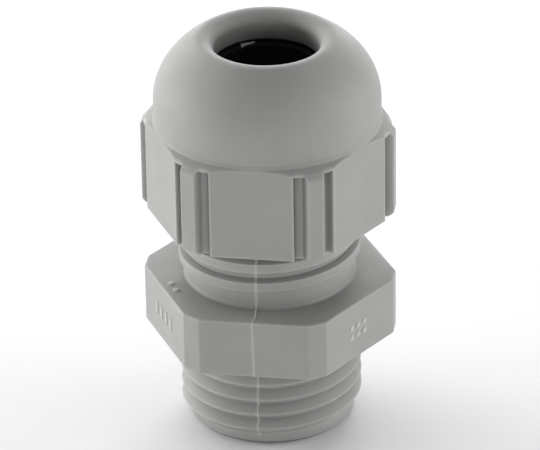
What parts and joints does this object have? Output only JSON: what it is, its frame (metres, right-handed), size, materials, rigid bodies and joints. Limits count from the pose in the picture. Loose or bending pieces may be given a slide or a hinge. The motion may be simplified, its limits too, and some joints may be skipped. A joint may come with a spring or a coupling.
{
  "type": "cable gland",
  "caption": "Grey dome-nut cable gland with threaded hexagonal body, slit clamping fingers and a black rubber sealing sleeve.",
  "frame": {"origin": "on the cable's axis, at the free end of the mounting thread, which is also the middle of the part's base", "axes": "+Z along the cable's axis towards the dome, -Y out of the front flat of the flange, +X to the right seen from the front"},
  "size_m": [0.0212, 0.019, 0.0346],
  "materials": {
    "polyamide_grey": "semi-matte injection moulded",
    "rubber_black": "matte"
  },
  "bodies": {
    "gland_body": {"gland_body": "polyamide_grey", "sealing_insert": "rubber_black"},
    "cone_carrier": {"nut_pressure_cone": "polyamide_grey"},
    "dome_nut": {"dome_nut": "polyamide_grey"},
    "finger_01": {"clamping_finger_01": "polyamide_grey"},
    "finger_02": {"clamping_finger_02": "polyamide_grey"},
    "finger_03": {"clamping_finger_03": "polyamide_grey"},
    "finger_04": {"clamping_finger_04": "polyamide_grey"},
    "finger_05": {"clamping_finger_05": "polyamide_grey"},
    "finger_06": {"clamping_finger_06": "polyamide_grey"},
    "finger_07": {"clamping_finger_07": "polyamide_grey"},
    "finger_08": {"clamping_finger_08": "polyamide_grey"},
    "finger_09": {"clamping_finger_09": "polyamide_grey"},
    "finger_10": {"clamping_finger_10": "polyamide_grey"},
    "finger_11": {"clamping_finger_11": "polyamide_grey"},
    "finger_12": {"clamping_finger_12": "polyamide_grey"}
  },
  "joints": [
    {"name": "nut_travel", "type": "slide", "parent": "gland_body", "child": "cone_carrier", "axis": [0, 0, 1], "range_m": [-0.003, 0.0015], "deforming": ["sealing_insert"]},
    {"name": "nut_turn", "type": "hinge", "parent": "cone_carrier", "child": "dome_nut", "pos_m": [0, 0, 0.02665], "axis": [0, 0, 1], "range_deg": [-617.2, 308.6]},
    {"name": "finger_01_hinge", "type": "hinge", "parent": "gland_body", "child": "finger_01", "pos_m": [0, -0.0061, 0.02245], "axis": [-1, 0, 0], "range_deg": [-5.7, 11.3]},
    {"name": "finger_02_hinge", "type": "hinge", "parent": "gland_body", "child": "finger_02", "pos_m": [0.00305, -0.00528, 0.02245], "axis": [-0.866, -0.5, 0], "range_deg": [-5.7, 11.3]},
    {"name": "finger_03_hinge", "type": "hinge", "parent": "gland_body", "child": "finger_03", "pos_m": [0.00528, -0.00305, 0.02245], "axis": [-0.5, -0.866, 0], "range_deg": [-5.7, 11.3]},
    {"name": "finger_04_hinge", "type": "hinge", "parent": "gland_body", "child": "finger_04", "pos_m": [0.0061, 0, 0.02245], "axis": [0, -1, 0], "range_deg": [-5.7, 11.3]},
    {"name": "finger_05_hinge", "type": "hinge", "parent": "gland_body", "child": "finger_05", "pos_m": [0.00528, 0.00305, 0.02245], "axis": [0.5, -0.866, 0], "range_deg": [-5.7, 11.3]},
    {"name": "finger_06_hinge", "type": "hinge", "parent": "gland_body", "child": "finger_06", "pos_m": [0.00305, 0.00528, 0.02245], "axis": [0.866, -0.5, 0], "range_deg": [-5.7, 11.3]},
    {"name": "finger_07_hinge", "type": "hinge", "parent": "gland_body", "child": "finger_07", "pos_m": [0, 0.0061, 0.02245], "axis": [1, 0, 0], "range_deg": [-5.7, 11.3]},
    {"name": "finger_08_hinge", "type": "hinge", "parent": "gland_body", "child": "finger_08", "pos_m": [-0.00305, 0.00528, 0.02245], "axis": [0.866, 0.5, 0], "range_deg": [-5.7, 11.3]},
    {"name": "finger_09_hinge", "type": "hinge", "parent": "gland_body", "child": "finger_09", "pos_m": [-0.00528, 0.00305, 0.02245], "axis": [0.5, 0.866, 0], "range_deg": [-5.7, 11.3]},
    {"name": "finger_10_hinge", "type": "hinge", "parent": "gland_body", "child": "finger_10", "pos_m": [-0.0061, 0, 0.02245], "axis": [0, 1, 0], "range_deg": [-5.7, 11.3]},
    {"name": "finger_11_hinge", "type": "hinge", "parent": "gland_body", "child": "finger_11", "pos_m": [-0.00528, -0.00305, 0.02245], "axis": [-0.5, 0.866, 0], "range_deg": [-5.7, 11.3]},
    {"name": "finger_12_hinge", "type": "hinge", "parent": "gland_body", "child": "finger_12", "pos_m": [-0.00305, -0.00528, 0.02245], "axis": [-0.866, 0.5, 0], "range_deg": [-5.7, 11.3]}
  ],
  "couplings": [
    {"joint": "nut_turn", "follows": "nut_travel", "rad_per_m": 3590.4},
    {"joint": "finger_01_hinge", "follows": "nut_travel", "rad_per_m": -64.7},
    {"joint": "finger_02_hinge", "follows": "nut_travel", "rad_per_m": -64.7},
    {"joint": "finger_03_hinge", "follows": "nut_travel", "rad_per_m": -64.7},
    {"joint": "finger_04_hinge", "follows": "nut_travel", "rad_per_m": -64.7},
    {"joint": "finger_05_hinge", "follows": "nut_travel", "rad_per_m": -64.7},
    {"joint": "finger_06_hinge", "follows": "nut_travel", "rad_per_m": -64.7},
    {"joint": "finger_07_hinge", "follows": "nut_travel", "rad_per_m": -64.7},
    {"joint": "finger_08_hinge", "follows": "nut_travel", "rad_per_m": -64.7},
    {"joint": "finger_09_hinge", "follows": "nut_travel", "rad_per_m": -64.7},
    {"joint": "finger_10_hinge", "follows": "nut_travel", "rad_per_m": -64.7},
    {"joint": "finger_11_hinge", "follows": "nut_travel", "rad_per_m": -64.7},
    {"joint": "finger_12_hinge", "follows": "nut_travel", "rad_per_m": -64.7}
  ]
}
